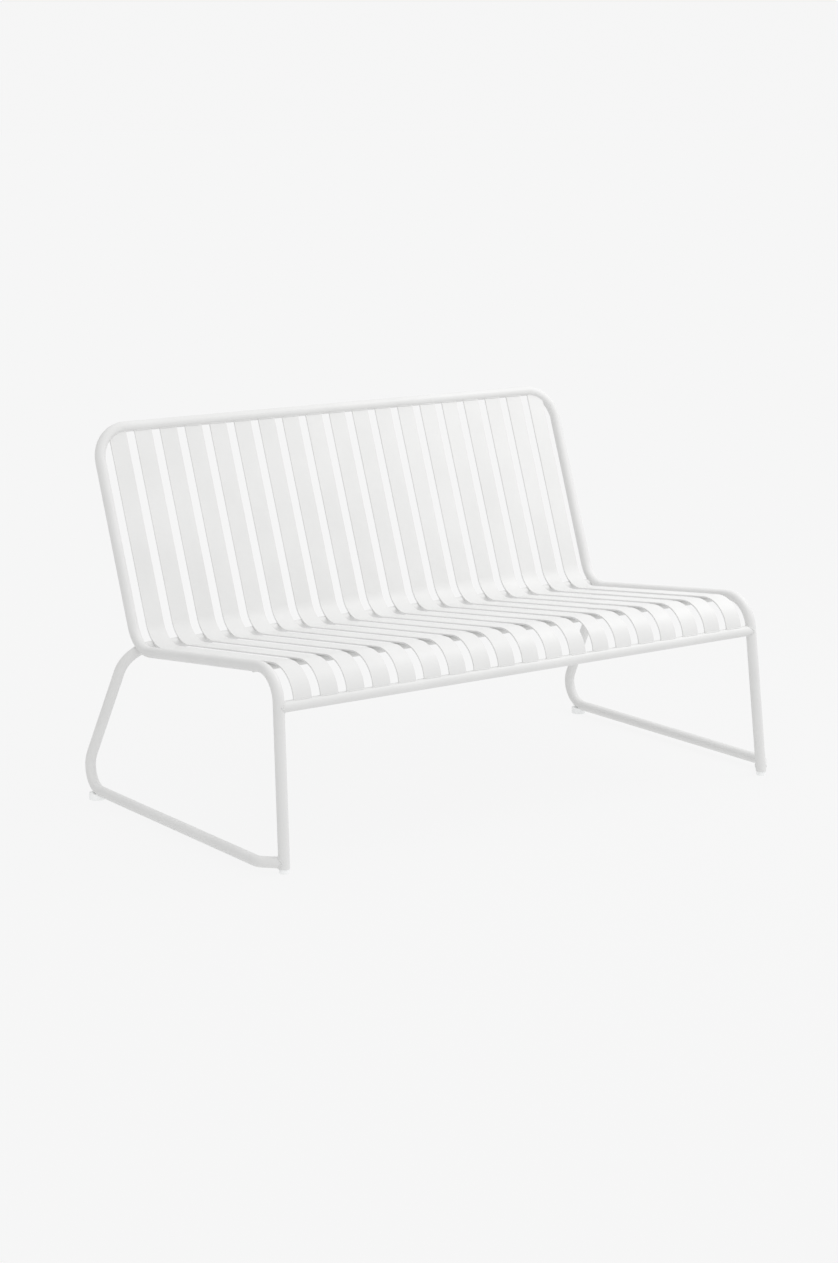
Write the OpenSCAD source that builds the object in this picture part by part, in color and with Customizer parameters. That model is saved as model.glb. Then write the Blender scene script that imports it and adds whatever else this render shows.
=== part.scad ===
// Garden bench: one bent tube makes the seat and back outline with the front legs, a second
// bent tube makes the runners, rear legs and rear cross bar, and flat-bar slats follow the
// seat and back over two cross rails. Millimetres, +Z up, the sitter faces -Y, and the
// origin is on the floor at the middle of the bench.

/* [Bench] */
// Width of the seat frame, outside to outside
bench_w = 1200; // [950:10:1500]
// Height of the frame's axis at the front corner of the seat
seat_h = 385; // [320:1:460]
// Depth of the seat, from its front corner to the corner at the foot of the back
seat_d = 527; // [440:1:640]
// Slope of the seat down towards the back, in degrees
seat_slope = 6.5; // [0:0.1:10]
// Height of the back, from the corner at its foot to the top rail
back_h = 434; // [300:1:560]
// Lean of the back from the vertical, in degrees
back_lean = 20.1; // [5:0.1:30]
// Lean of the front legs, feet forward, in degrees
leg_lean = 5.65; // [2:0.05:9]
// Splay of the front legs, feet outward, in degrees
leg_splay = 2.15; // [0:0.1:4]

/* [Tube] */
// Outside diameter of every tube but the front cross rail
tube_d = 22; // [18:0.5:28]
// Wall of every tube
tube_wall = 2; // [1:0.1:3]
// Bend radius over the front edge of the seat
knee_r = 64; // [40:1:90]
// Bend radius between the seat and the back
heel_r = 65; // [40:1:90]
// Bend radius at the top corners of the back
corner_r = 70; // [40:1:100]

/* [Base] */
// How far the runner stands outside the side of the seat frame, axis to axis
runner_out = 49; // [30:1:70]
// Distance along the runner from the front leg to the runner's first corner
kink_back = 35; // [25:1:50]
// Bend radius of the runner's first corner
kink_r = 27; // [18:1:30]
// How far the runner's rear corner reaches behind the top rail, axis to axis
runner_past_back = 5; // [-40:1:60]
// Bend radius from the runner into the rear leg
runner_r = 50; // [35:1:70]
// How far the top of the rear leg stands outside the side of the seat frame
rear_leg_out = 28; // [15:1:40]
// Bend radius from the rear leg into the rear cross bar
cross_r = 61; // [40:1:75]

/* [Slats] */
// Number of slats
slat_count = 19; // [8:1:22]
// Width of a slat
slat_w = 40; // [20:1:45]
// Thickness of a slat
slat_t = 3; // [2:0.5:5]
// Clear space between each side tube and the first slat
slat_end_gap = 18; // [8:1:40]
// Height of the slat's middle above the frame's axis, towards the sitter
slat_lift = 3; // [0:0.5:6]

/* [Rails] */
// Height of the front rail's axis
front_rail_z = 312; // [260:1:330]
// Outside diameter of the front cross rail
cross_rail_d = 16; // [10:0.5:22]
// Distance from the seat's front corner back to the front cross rail
cross_rail_in = 97; // [85:1:250]

/* [Feet] */
// Height of the plastic feet under the metal
foot_h = 9; // [5:0.5:15]
// Diameter of the front feet
front_foot_d = 20; // [14:0.5:22]
// How far the front foot's collar reaches under the wall of the leg
foot_ledge = 1; // [0.5:0.1:1.8]
// Thickness of the front foot's collar
foot_collar = 2; // [1:0.5:2]
// Chamfer round the bottom edge of every foot
foot_edge = 1.5; // [0.5:0.1:2.5]
// Length of the front foot's stem inside the leg
foot_stem = 25; // [15:1:40]
// Clearance round a foot's stem or peg
foot_fit = 0.2; // [0.1:0.05:0.5]
// Diameter of the rear foot's saddle
saddle_d = 34; // [28:1:44]
// Height to which the saddle rises beside the runner
saddle_h = 14; // [12:0.5:18]
// Diameter of the peg that holds the rear foot in the runner
peg_d = 6; // [4:0.5:8]

/* [Hidden] */
function two_digits(number) = str(number < 10 ? "0" : "", number);
slat_names = [for (i = [1 : slat_count]) str("slat_", two_digits(i))];

$fn = 64;
tube_r = tube_d / 2;
bore_r = tube_r - tube_wall;
side_x = bench_w / 2 - tube_r;
runner_x = side_x + runner_out;
runner_z = foot_h + tube_r;
slat_gap = (bench_w - 2 * tube_d - 2 * slat_end_gap - slat_count * slat_w) / (slat_count - 1);
first_slat_x = -bench_w / 2 + tube_d + slat_end_gap + slat_w / 2;
cut_depth = seat_h;
// A bend is this much slimmer all round than the straights, which lap over its two ends.
seam_step = 0.01;
seam_lap = 0.5;
// A coped end stops this far short of the axis of the tube that it meets.
cope_back = 1.5;
// A bore is cut this far past the ends of its tube.
bore_past = 1;

steel_white = [0.94, 0.94, 0.93];
foot_grey = [0.86, 0.87, 0.87];

// Side view of the frame's axis as [y, z], first measured from the front corner of the seat.
lean_step = tan(leg_lean);
splay_step = tan(leg_splay);
heel_z = seat_h - seat_d * tan(seat_slope);
top_y = seat_d + back_h * tan(back_lean);
frontmost = -(seat_h - foot_h) * lean_step - tube_r / cos(leg_lean);
rearmost = top_y + tube_r;
middle_y = (frontmost + rearmost) / 2;
knee = [-middle_y, seat_h];
heel = [seat_d - middle_y, heel_z];
top = [top_y - middle_y, heel_z + back_h];

function unit(v) = v / norm(v);
function left_of(v) = [-v[1], v[0]];

// The sitter's side of each straight stretch.
leg_up = unit([lean_step, 1]);
seat_back = unit(heel - knee);
back_up = unit(top - heel);
leg_face = left_of(leg_up);
seat_face = left_of(seat_back);
back_face = left_of(back_up);

// Tubes under the slats touch their undersides.
function under_slats(radius) = radius + slat_t / 2 - slat_lift;
cross_rail = knee + seat_back * cross_rail_in - seat_face * under_slats(cross_rail_d / 2);
heel_inward = unit(unit(knee - heel) + back_up);
heel_half_angle = acos(unit(knee - heel) * back_up) / 2;
heel_centre = heel + heel_inward * heel_r / sin(heel_half_angle);
rear_cross = heel_centre - heel_inward * (heel_r + under_slats(tube_r));

function on_leg(side, z) = [
    side * (side_x + (seat_h - z) * splay_step),
    knee[0] - (seat_h - z) * lean_step,
    z
];
function at_side(side, point) = [side * side_x, point[0], point[1]];

hoop_points = [
    on_leg(-1, -foot_h), at_side(-1, knee), at_side(-1, heel), at_side(-1, top),
    at_side(1, top), at_side(1, heel), at_side(1, knee), on_leg(1, -foot_h)
];
hoop_radii = [knee_r, heel_r, corner_r, corner_r, heel_r, knee_r];

function runner_kink(side) = [side * runner_x, on_leg(side, runner_z)[1] + kink_back, runner_z];
function runner_start(side) =
    on_leg(side, runner_z) + unit(runner_kink(side) - on_leg(side, runner_z)) * cope_back;
function runner_heel(side) = [side * runner_x, top[0] + runner_past_back, runner_z];
function rear_leg_top(side) = [side * (side_x + rear_leg_out), rear_cross[0], rear_cross[1]];
base_points = [
    runner_start(-1), runner_kink(-1), runner_heel(-1), rear_leg_top(-1),
    rear_leg_top(1), runner_heel(1), runner_kink(1), runner_start(1)
];
base_radii = [kink_r, runner_r, cross_r, cross_r, runner_r, kink_r];

// Geometry of one rounded corner q between the points p and s.
function corner_angle(p, q, s) = acos(unit(p - q) * unit(s - q));
function corner_trim(p, q, s, bend_r) = bend_r / tan(corner_angle(p, q, s) / 2);
function corner_centre(p, q, s, bend_r) =
    q + unit(unit(p - q) + unit(s - q)) * bend_r / sin(corner_angle(p, q, s) / 2);
// Where the straight stretch after point i starts, and where it ends.
function stretch_start(points, radii, i) =
    i == 0 ? points[0]
    : points[i] + unit(points[i + 1] - points[i])
        * corner_trim(points[i - 1], points[i], points[i + 1], radii[i - 1]);
function stretch_end(points, radii, i) =
    i == len(points) - 2 ? points[i + 1]
    : points[i + 1] - unit(points[i + 1] - points[i])
        * corner_trim(points[i], points[i + 1], points[i + 2], radii[i]);

// The rear foot sits just past the place where the runner starts to bend up into the rear leg.
rear_foot_y = stretch_end(base_points, base_radii, 1)[1] + saddle_d / 2 + 2 * seam_lap;

// The middle line of a slat runs parallel to the frame's axis, slat_lift towards the sitter.
function lifted_corner(q, face_before, face_after) =
    q + slat_lift * (face_before + face_after) / (1 + face_before * face_after);
slat_start = [knee[0] - (seat_h - front_rail_z) * lean_step, front_rail_z] + leg_face * slat_lift;
slat_end = top + back_face * slat_lift - back_up * tube_r / 2;
slat_line = [
    slat_start,
    lifted_corner(knee, leg_face, seat_face),
    lifted_corner(heel, seat_face, back_face),
    slat_end
];
slat_radii = [knee_r + slat_lift, heel_r - slat_lift];

module place(origin, x_dir, z_dir) {
    y_dir = cross(z_dir, x_dir);
    multmatrix([
        [x_dir.x, y_dir.x, z_dir.x, origin.x],
        [x_dir.y, y_dir.y, z_dir.y, origin.y],
        [x_dir.z, y_dir.z, z_dir.z, origin.z],
        [0, 0, 0, 1]
    ])
        children();
}

// A round bar from a to b.
module rod(a, b, radius) {
    along = unit(b - a);
    across = unit(cross(abs(along.x) < 0.9 ? [1, 0, 0] : [0, 0, 1], along));
    place(a, across, along)
        cylinder(h = norm(b - a), r = radius);
}

// The 2D outline given as a child, turned round the corner q at its distance bend_r.
module turn_corner(p, q, s, bend_r) {
    centre = corner_centre(p, q, s, bend_r);
    trim = corner_trim(p, q, s, bend_r);
    from = unit(q + unit(p - q) * trim - centre);
    to = unit(q + unit(s - q) * trim - centre);
    place(centre, from, unit(cross(from, to)))
        rotate_extrude(angle = 180 - corner_angle(p, q, s))
            translate([bend_r, 0])
                children();
}

// A solid round bar that follows the points, with rounded corners.
module bent_bar(points, radii, radius) {
    for (i = [0 : len(points) - 2]) {
        lap = unit(points[i + 1] - points[i]) * seam_lap;
        rod(stretch_start(points, radii, i) - lap, stretch_end(points, radii, i) + lap, radius);
    }
    for (i = [1 : len(points) - 2])
        turn_corner(points[i - 1], points[i], points[i + 1], radii[i - 1])
            circle(radius - seam_step);
}

module hoop_outer() {
    bent_bar(hoop_points, hoop_radii, tube_r);
}

module below(z) {
    translate([-bench_w, -bench_w, z - cut_depth])
        cube([2 * bench_w, 2 * bench_w, cut_depth]);
}

module hoop_tube() {
    color(steel_white)
        difference() {
            hoop_outer();
            bent_bar(hoop_points, hoop_radii, bore_r);
            below(foot_h);
        }
}

module base_tube() {
    color(steel_white)
        difference() {
            bent_bar(base_points, base_radii, tube_r);
            bent_bar(base_points, base_radii, bore_r);
            hoop_outer();
            for (side = [-1, 1])
                translate([side * runner_x, rear_foot_y, 0])
                    cylinder(h = runner_z, r = peg_d / 2 + foot_fit);
        }
}

// A straight tube across the bench at the side-view point given, coped to the frame.
module cross_tube(half_length, point, radius) {
    bore_end = half_length + bore_past;
    difference() {
        rod([-half_length, point[0], point[1]], [half_length, point[0], point[1]], radius);
        rod([-bore_end, point[0], point[1]], [bore_end, point[0], point[1]], radius - tube_wall);
        hoop_outer();
    }
}

module front_rail() {
    leg = on_leg(1, front_rail_z);
    color(steel_white)
        cross_tube(leg.x - cope_back, [leg.y, leg.z], tube_r);
}

module front_cross_rail() {
    color(steel_white)
        cross_tube(side_x - tube_r / 2, cross_rail, cross_rail_d / 2);
}

// The flat bar, bent to the line of the seat and back.
module slat_blank(x) {
    points = [for (point = slat_line) [x, point[0], point[1]]];
    for (i = [0 : len(points) - 2]) {
        start = stretch_start(points, slat_radii, i);
        finish = stretch_end(points, slat_radii, i);
        place(start, [1, 0, 0], unit(finish - start))
            translate([-slat_w / 2, -slat_t / 2, -seam_lap])
                cube([slat_w, slat_t, norm(finish - start) + 2 * seam_lap]);
    }
    for (i = [1 : len(points) - 2])
        turn_corner(points[i - 1], points[i], points[i + 1], slat_radii[i - 1])
            square([slat_t - 2 * seam_step, slat_w - 2 * seam_step], center = true);
}

module slat(number) {
    leg = on_leg(1, front_rail_z);
    color(steel_white)
        difference() {
            slat_blank(first_slat_x + (number - 1) * (slat_w + slat_gap));
            rod([-leg.x, leg.y, leg.z], leg, tube_r);
            bent_bar([for (i = [2 : 5]) hoop_points[i]], [corner_r, corner_r], tube_r);
        }
}

// A round foot that stands on the floor, with a chamfered bottom edge.
module round_foot(radius, height) {
    rotate_extrude()
        polygon([[0, 0], [radius - foot_edge, 0], [radius, foot_edge], [radius, height], [0, height]]);
}

module front_foot(side) {
    leg_end = on_leg(side, foot_h);
    color(foot_grey) {
        translate([leg_end.x, leg_end.y, 0])
            round_foot(front_foot_d / 2, foot_h - foot_collar);
        translate([leg_end.x, leg_end.y, foot_h - foot_collar])
            cylinder(h = foot_collar, r = bore_r + foot_ledge);
        rod(on_leg(side, foot_h / 2), on_leg(side, foot_h + foot_stem), bore_r - foot_fit);
    }
}

module rear_foot(side) {
    color(foot_grey)
        translate([side * runner_x, rear_foot_y, 0]) {
            difference() {
                round_foot(saddle_d / 2, saddle_h);
                translate([-side * runner_x, -rear_foot_y, 0])
                    bent_bar(base_points, base_radii, tube_r);
            }
            cylinder(h = runner_z, r = peg_d / 2);
        }
}

hoop_tube();
base_tube();
front_rail();
front_cross_rail();
for (i = [1 : slat_count])
    slat(i);
front_foot(1);  // front_foot_left
front_foot(-1);  // front_foot_right
rear_foot(1);  // rear_foot_left
rear_foot(-1);  // rear_foot_right
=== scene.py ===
"""Looks of the garden bench: white powder-coated steel, its welds and pale plastic feet, in a studio."""

import math

import bmesh
import bpy
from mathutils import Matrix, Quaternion, Vector


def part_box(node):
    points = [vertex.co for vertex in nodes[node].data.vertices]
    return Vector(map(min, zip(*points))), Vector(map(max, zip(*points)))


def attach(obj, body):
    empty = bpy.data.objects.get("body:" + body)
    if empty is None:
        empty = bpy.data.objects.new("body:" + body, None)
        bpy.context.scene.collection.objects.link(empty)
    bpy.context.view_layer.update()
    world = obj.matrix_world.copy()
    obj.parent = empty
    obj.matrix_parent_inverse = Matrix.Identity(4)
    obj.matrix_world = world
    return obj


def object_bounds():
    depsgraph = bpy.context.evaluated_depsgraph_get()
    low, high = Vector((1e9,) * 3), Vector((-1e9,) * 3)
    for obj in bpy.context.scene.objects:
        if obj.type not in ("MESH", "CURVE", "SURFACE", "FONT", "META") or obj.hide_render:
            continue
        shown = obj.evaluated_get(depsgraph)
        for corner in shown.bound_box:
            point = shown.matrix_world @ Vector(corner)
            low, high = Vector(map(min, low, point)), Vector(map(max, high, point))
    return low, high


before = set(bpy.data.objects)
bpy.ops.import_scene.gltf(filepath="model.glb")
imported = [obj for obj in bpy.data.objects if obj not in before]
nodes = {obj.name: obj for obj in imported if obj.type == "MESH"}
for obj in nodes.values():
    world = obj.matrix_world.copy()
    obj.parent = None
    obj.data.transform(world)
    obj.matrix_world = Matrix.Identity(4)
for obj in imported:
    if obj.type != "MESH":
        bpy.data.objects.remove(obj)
cad_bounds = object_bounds()
scene = bpy.context.scene

# Camera, in degrees and metres. It looks past the middle of the bench's box by AIM_OFFSET.
AZIMUTH = -35.4
ELEVATION = 12.0
DISTANCE = 5.512
ROLL = -0.13
AIM_OFFSET = Vector((-0.030, 0.007, -0.0562))
IMAGE_LONG_SIDE = 1263
FOCAL_LENGTH_IN_IMAGE = 2643.6
SENSOR = 36.0

# Radiance of the surroundings: even ahead of the camera, brighter above and to the right, dimmer to the left.
SURROUND = 0.92
EVEN_PART = 0.3
UP_GAIN = 0.30
RIGHT_GAIN = 0.10
LEFT_LOSS = 0.50

# The floor glows as a lit studio sweep does, and its small albedo takes a faint contact shadow.
FLOOR_GLOW = 0.875
FLOOR_ALBEDO = 0.045
FLOOR_RADIUS = 60.0

# The lines that the welds follow, in metres and degrees.
LEG_LEAN = 5.65
LEG_SPLAY = 2.15
BACK_LEAN = 20.1
KINK_BACK = 0.035
SLAT_FACE = 0.0045

# A weld bead: its radius, and the pitch and depth of its ripples.
BEAD = 0.0016
RIPPLE_PITCH = 0.0022
RIPPLE_DEPTH = 0.14
BEAD_SIDES = 10

# An open bead starts this thin and is full after this many rings.
BEAD_TIP = 0.35
BEAD_TAPER_RINGS = 4

# Powder coat: scales of its tone patches, gloss changes and orange peel, and the peel's relief.
PATCH_SCALE = 9.0
GLOSS_SCALE = 60.0
PEEL_SCALE = 900.0
PEEL_STRENGTH = 0.12
PEEL_HEIGHT = 0.0004

# Moulded plastic: scales of its tone, gloss and spark-eroded grain, and the grain's relief.
MOULD_TONE_SCALE = 40.0
MOULD_GLOSS_SCALE = 300.0
GRAIN_SCALE = 1500.0
GRAIN_STRENGTH = 0.2
GRAIN_HEIGHT = 0.0002


def make_camera():
    lo, hi = cad_bounds
    aim = (lo + hi) / 2 + AIM_OFFSET
    azimuth, elevation = math.radians(AZIMUTH), math.radians(ELEVATION)
    roll = Quaternion((0, 0, 1), math.radians(ROLL))
    back = Vector(
        (
            math.sin(azimuth) * math.cos(elevation),
            -math.cos(azimuth) * math.cos(elevation),
            math.sin(elevation),
        )
    )
    camera = bpy.data.objects.new("camera", bpy.data.cameras.new("camera"))
    scene.collection.objects.link(camera)
    camera.data.sensor_width = SENSOR
    camera.data.lens = FOCAL_LENGTH_IN_IMAGE * SENSOR / IMAGE_LONG_SIDE
    camera.location = aim + back * DISTANCE
    camera.rotation_mode = "QUATERNION"
    camera.rotation_quaternion = (-back).to_track_quat("-Z", "Y") @ roll
    scene.camera = camera


def new_material(name):
    material = bpy.data.materials.new(name)
    material.use_nodes = True
    tree = material.node_tree
    tree.nodes.clear()
    output = tree.nodes.new("ShaderNodeOutputMaterial")
    return material, tree, output


def noise(tree, scale, detail, roughness=0.5):
    coordinates = tree.nodes.new("ShaderNodeTexCoord")
    texture = tree.nodes.new("ShaderNodeTexNoise")
    texture.inputs["Scale"].default_value = scale
    texture.inputs["Detail"].default_value = detail
    texture.inputs["Roughness"].default_value = roughness
    tree.links.new(coordinates.outputs["Object"], texture.inputs["Vector"])
    return texture.outputs["Fac"]


def spread(tree, value, low, high):
    """value, which is noise about a half, spread over the range from low to high."""
    ranged = tree.nodes.new("ShaderNodeMapRange")
    ranged.inputs["From Min"].default_value = 0.3
    ranged.inputs["From Max"].default_value = 0.7
    ranged.inputs["To Min"].default_value = low
    ranged.inputs["To Max"].default_value = high
    tree.links.new(value, ranged.inputs["Value"])
    return ranged.outputs["Result"]


def tint(tree, value, dark, light):
    mix = tree.nodes.new("ShaderNodeMix")
    mix.data_type = "RGBA"
    mix.inputs[6].default_value = (*dark, 1)
    mix.inputs[7].default_value = (*light, 1)
    tree.links.new(value, mix.inputs[0])
    return mix.outputs[2]


def relief(tree, scale, strength, height):
    """The normal of a fine relief of noise."""
    bump = tree.nodes.new("ShaderNodeBump")
    bump.inputs["Strength"].default_value = strength
    bump.inputs["Distance"].default_value = height
    tree.links.new(noise(tree, scale, 2.0), bump.inputs["Height"])
    return bump.outputs["Normal"]


def powder_coat(name, dark, light):
    """Satin powder coat: a fine orange-peel relief, with faint changes in gloss and tone."""
    material, tree, output = new_material(name)
    shader = tree.nodes.new("ShaderNodeBsdfPrincipled")
    shader.inputs["IOR"].default_value = 1.5
    shader.inputs["Specular IOR Level"].default_value = 0.4
    patches = spread(tree, noise(tree, PATCH_SCALE, 3.0), 0.0, 1.0)
    tree.links.new(tint(tree, patches, dark, light), shader.inputs["Base Color"])
    gloss = spread(tree, noise(tree, GLOSS_SCALE, 2.0), 0.40, 0.50)
    tree.links.new(gloss, shader.inputs["Roughness"])
    peel = relief(tree, PEEL_SCALE, PEEL_STRENGTH, PEEL_HEIGHT)
    tree.links.new(peel, shader.inputs["Normal"])
    tree.links.new(shader.outputs["BSDF"], output.inputs["Surface"])
    return material


def foot_plastic():
    """Pale moulded plastic with a fine spark-eroded grain."""
    material, tree, output = new_material("foot_plastic_looks")
    shader = tree.nodes.new("ShaderNodeBsdfPrincipled")
    shader.inputs["IOR"].default_value = 1.49
    tone = spread(tree, noise(tree, MOULD_TONE_SCALE, 2.0), 0.0, 1.0)
    pale = tint(tree, tone, (0.90, 0.91, 0.91), (0.95, 0.96, 0.96))
    tree.links.new(pale, shader.inputs["Base Color"])
    gloss = spread(tree, noise(tree, MOULD_GLOSS_SCALE, 2.0), 0.35, 0.5)
    tree.links.new(gloss, shader.inputs["Roughness"])
    grain = relief(tree, GRAIN_SCALE, GRAIN_STRENGTH, GRAIN_HEIGHT)
    tree.links.new(grain, shader.inputs["Normal"])
    tree.links.new(shader.outputs["BSDF"], output.inputs["Surface"])
    return material


def dress(node, material):
    for slot in nodes[node].material_slots:
        slot.material = material


def make_floor():
    """A white sheet on which the bench leaves only a faint contact shadow."""
    bpy.ops.mesh.primitive_circle_add(
        vertices=96, radius=FLOOR_RADIUS, fill_type="NGON", location=(0, 0, 0)
    )
    floor = bpy.context.object
    floor.name = "floor"
    material, tree, output = new_material("floor")
    glow = tree.nodes.new("ShaderNodeEmission")
    glow.inputs["Color"].default_value = (1, 1, 1, 1)
    glow.inputs["Strength"].default_value = FLOOR_GLOW
    matt = tree.nodes.new("ShaderNodeBsdfDiffuse")
    matt.inputs["Color"].default_value = (FLOOR_ALBEDO,) * 3 + (1,)
    both = tree.nodes.new("ShaderNodeAddShader")
    tree.links.new(glow.outputs["Emission"], both.inputs[0])
    tree.links.new(matt.outputs["BSDF"], both.inputs[1])
    tree.links.new(both.outputs["Shader"], output.inputs["Surface"])
    floor.data.materials.append(material)


def ramp(tree, value, start, end, amount):
    """0 until value reaches start, then smoothly up to amount at end."""
    ranged = tree.nodes.new("ShaderNodeMapRange")
    ranged.interpolation_type = "SMOOTHSTEP"
    ranged.inputs["From Min"].default_value = start
    ranged.inputs["From Max"].default_value = end
    ranged.inputs["To Min"].default_value = 0.0
    ranged.inputs["To Max"].default_value = amount
    tree.links.new(value, ranged.inputs["Value"])
    return ranged.outputs["Result"]


def add(tree, first, second):
    total = tree.nodes.new("ShaderNodeMath")
    total.operation = "ADD"
    for socket, value in zip(total.inputs, (first, second)):
        if isinstance(value, float):
            socket.default_value = value
        else:
            tree.links.new(value, socket)
    return total.outputs[0]


def make_world():
    world = bpy.data.worlds.new("studio")
    world.use_nodes = True
    tree = world.node_tree
    background = tree.nodes["Background"]
    background.inputs["Color"].default_value = (1, 1, 1, 1)
    direction = tree.nodes.new("ShaderNodeTexCoord")
    rightward = tree.nodes.new("ShaderNodeVectorMath")
    rightward.operation = "DOT_PRODUCT"
    azimuth = math.radians(AZIMUTH)
    rightward.inputs[1].default_value = (math.cos(azimuth), math.sin(azimuth), 0)
    tree.links.new(direction.outputs["Generated"], rightward.inputs[0])
    upward = tree.nodes.new("ShaderNodeSeparateXYZ")
    tree.links.new(direction.outputs["Generated"], upward.inputs[0])
    side = rightward.outputs["Value"]
    gain = ramp(tree, side, EVEN_PART, 1.0, RIGHT_GAIN)
    loss = ramp(tree, side, -EVEN_PART, -1.0, -LEFT_LOSS)
    above = ramp(tree, upward.outputs["Z"], EVEN_PART, 1.0, UP_GAIN)
    strength = add(tree, add(tree, add(tree, gain, loss), above), SURROUND)
    tree.links.new(strength, background.inputs["Strength"])
    scene.world = world
    scene.view_settings.view_transform = "Standard"


def soft_light(name, place, width, power):
    light = bpy.data.lights.new(name, "AREA")
    light.shape = "DISK"
    light.size = width
    light.energy = power
    lamp = bpy.data.objects.new(name, light)
    scene.collection.objects.link(lamp)
    lamp.location = place
    aim = Vector((0, 0, 0.4)) - Vector(place)
    lamp.rotation_mode = "QUATERNION"
    lamp.rotation_quaternion = aim.to_track_quat("-Z", "Y")


def weld_bead(mesh, path, closed):
    """Adds a rippled bead along the path to the bmesh; an open bead tapers to its ends."""
    count = len(path)
    rings = []
    run = 0.0
    for i, place in enumerate(path):
        before = path[i - 1] if closed or i > 0 else place
        after = path[(i + 1) % count] if closed or i < count - 1 else place
        along = (after - before).normalized()
        if i == 0:
            aside = along.orthogonal()
        aside = (aside - along * aside.dot(along)).normalized()
        upward = along.cross(aside)
        if i > 0:
            run += (place - path[i - 1]).length
        ripple = 1 + RIPPLE_DEPTH * math.sin(2 * math.pi * run / RIPPLE_PITCH)
        from_end = BEAD_TAPER_RINGS if closed else min(i, count - 1 - i, BEAD_TAPER_RINGS)
        radius = BEAD * ripple * (BEAD_TIP + (1 - BEAD_TIP) * from_end / BEAD_TAPER_RINGS)
        rings.append(
            [
                mesh.verts.new(
                    place
                    + radius * math.cos(2 * math.pi * k / BEAD_SIDES) * aside
                    + radius * math.sin(2 * math.pi * k / BEAD_SIDES) * upward
                )
                for k in range(BEAD_SIDES)
            ]
        )
    for i in range(count if closed else count - 1):
        here, there = rings[i], rings[(i + 1) % count]
        turn = nearest_turn(here, there) if closed and i == count - 1 else 0
        for k in range(BEAD_SIDES):
            m = (k + 1) % BEAD_SIDES
            face = (
                here[k],
                here[m],
                there[(m + turn) % BEAD_SIDES],
                there[(k + turn) % BEAD_SIDES],
            )
            mesh.faces.new(face)
    if not closed:
        mesh.faces.new(list(reversed(rings[0])))
        mesh.faces.new(rings[-1])


def nearest_turn(here, there):
    """By how many places the second ring is turned against the first where a closed bead ends."""
    return min(
        range(BEAD_SIDES),
        key=lambda turn: sum(
            (here[k].co - there[(k + turn) % BEAD_SIDES].co).length
            for k in range(BEAD_SIDES)
        ),
    )


def cope_line(place, along, leg_place, leg_along, tube_radius, samples=96):
    """Where a tube from place, running along, leaves the surface of a leg of the same diameter."""
    along, leg_along = along.normalized(), leg_along.normalized()
    across = along.orthogonal().normalized()
    other = along.cross(across)
    line = []
    for i in range(samples):
        angle = 2 * math.pi * i / samples
        start = place + tube_radius * (math.cos(angle) * across + math.sin(angle) * other)
        gap = start - leg_place
        gap -= leg_along * gap.dot(leg_along)
        slope = along - leg_along * along.dot(leg_along)
        a, b = slope.dot(slope), gap.dot(slope)
        c = gap.dot(gap) - tube_radius**2
        root = math.sqrt(max(b * b - a * c, 0.0))
        line.append(start + along * (root - b) / a)
    return line


def straight_line(start, end, step=RIPPLE_PITCH / 4):
    count = max(2, round((end - start).length / step))
    return [start.lerp(end, i / count) for i in range(count + 1)]


def finish_welds(mesh, name):
    bmesh.ops.recalc_face_normals(mesh, faces=mesh.faces)
    data = bpy.data.meshes.new(name)
    mesh.to_mesh(data)
    mesh.free()
    data.shade_smooth()
    piece = bpy.data.objects.new(name, data)
    scene.collection.objects.link(piece)
    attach(piece, "root")
    return piece


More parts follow.
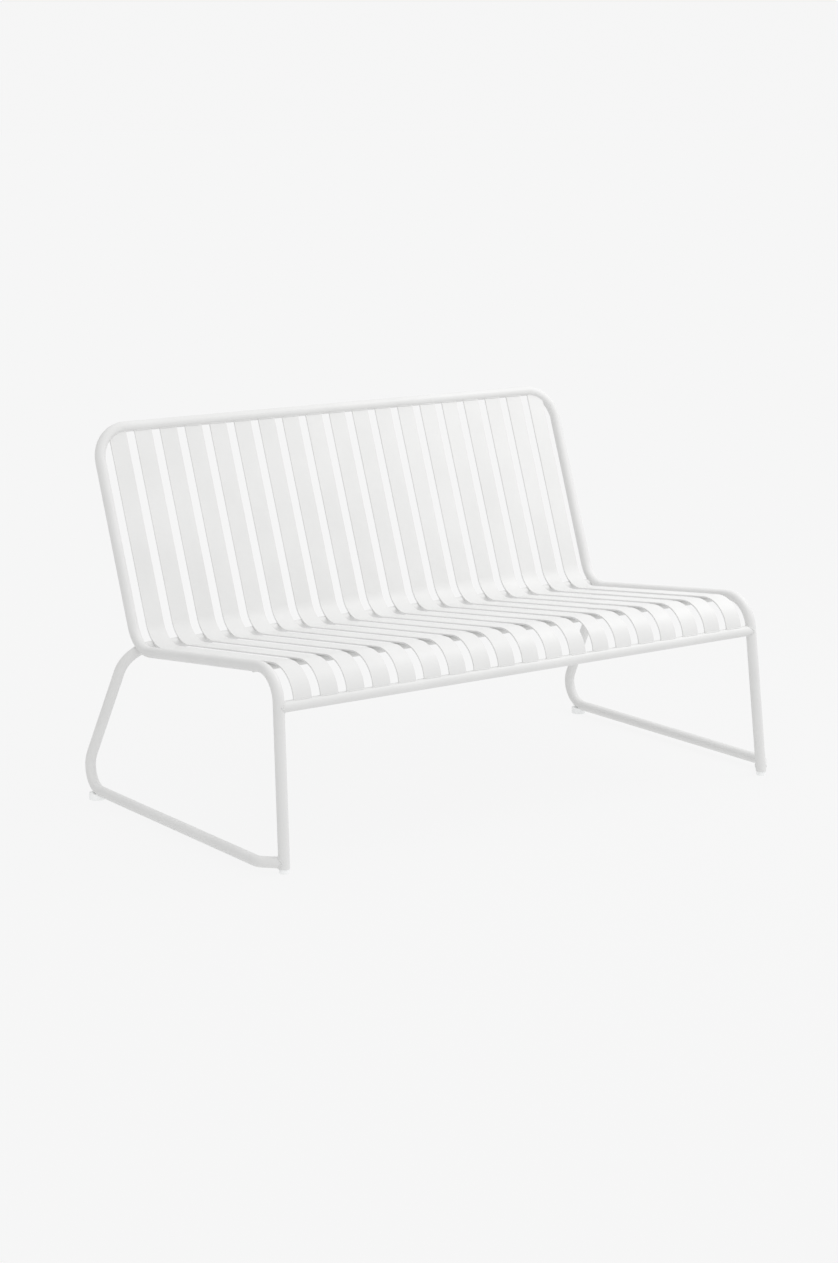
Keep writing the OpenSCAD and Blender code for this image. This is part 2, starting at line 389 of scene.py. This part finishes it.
def make_welds():
    """The beads that show: slats to front rail and top rail, front rail and base tube to the legs."""
    rail_lo, rail_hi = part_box("front_rail")
    hoop_lo, hoop_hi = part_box("hoop_tube")
    base_lo, base_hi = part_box("base_tube")
    tube_radius = (rail_hi.z - rail_lo.z) / 2
    lean, splay = math.tan(math.radians(LEG_LEAN)), math.tan(math.radians(LEG_SPLAY))
    rail = (rail_lo + rail_hi) / 2
    rise = math.sqrt(tube_radius**2 - SLAT_FACE**2)

    leg_up = Vector((0, lean, 1)).normalized()
    leg_out = Vector((0, -leg_up.z, leg_up.y))
    low = rail + leg_out * SLAT_FACE + leg_up * rise
    back_up = Vector((0, math.sin(math.radians(BACK_LEAN)), math.cos(math.radians(BACK_LEAN))))
    back_out = Vector((0, -back_up.z, back_up.y))
    top = Vector((0, hoop_hi.y - tube_radius, hoop_hi.z - tube_radius))
    high = top + back_out * SLAT_FACE - back_up * rise

    slat_welds = bmesh.new()
    for name in nodes:
        if name.startswith("slat_"):
            lo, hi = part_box(name)
            for line in (low, high):
                start = Vector((lo.x + BEAD, line.y, line.z))
                end = Vector((hi.x - BEAD, line.y, line.z))
                weld_bead(slat_welds, straight_line(start, end), False)

    frame_welds = bmesh.new()
    foot_x = hoop_hi.x - tube_radius * math.hypot(1, splay)
    for side in (-1, 1):
        leg_along = Vector((-side * splay, lean, 1))
        leg_x = foot_x - (rail.z - hoop_lo.z) * splay
        leg_place = Vector((side * leg_x, rail.y, rail.z))
        inward = Vector((-side, 0, 0))
        weld_bead(
            frame_welds, cope_line(leg_place, inward, leg_place, leg_along, tube_radius), True
        )
        runner_z = base_lo.z + tube_radius
        low_place = leg_place + leg_along * (runner_z - rail.z)
        kink = Vector((side * (base_hi.x - tube_radius), low_place.y + KINK_BACK, runner_z))
        toward = kink - low_place
        weld_bead(
            frame_welds, cope_line(low_place, toward, low_place, leg_along, tube_radius), True
        )
    return finish_welds(slat_welds, "slat_welds"), finish_welds(frame_welds, "frame_welds")


make_camera()
make_world()
make_floor()
soft_light("key", (1.4, -0.6, 2.0), 1.0, 9.0)

# Tubes and slats wear the same white powder coat. The tube coat is painted a little darker than the slat
# coat: painted shade for the shaded round tubes, which the welds share.
painted_shade_tube_coat = powder_coat("tube_coat_looks", (0.715, 0.715, 0.71), (0.745, 0.745, 0.74))
slat_coat = powder_coat("slat_coat_looks", (0.73, 0.73, 0.725), (0.76, 0.76, 0.755))
plastic = foot_plastic()
for node in nodes:
    if "foot" in node:
        dress(node, plastic)
    elif node.startswith("slat_"):
        dress(node, slat_coat)
    else:
        dress(node, painted_shade_tube_coat)

for weld in make_welds():
    weld.data.materials.append(painted_shade_tube_coat)
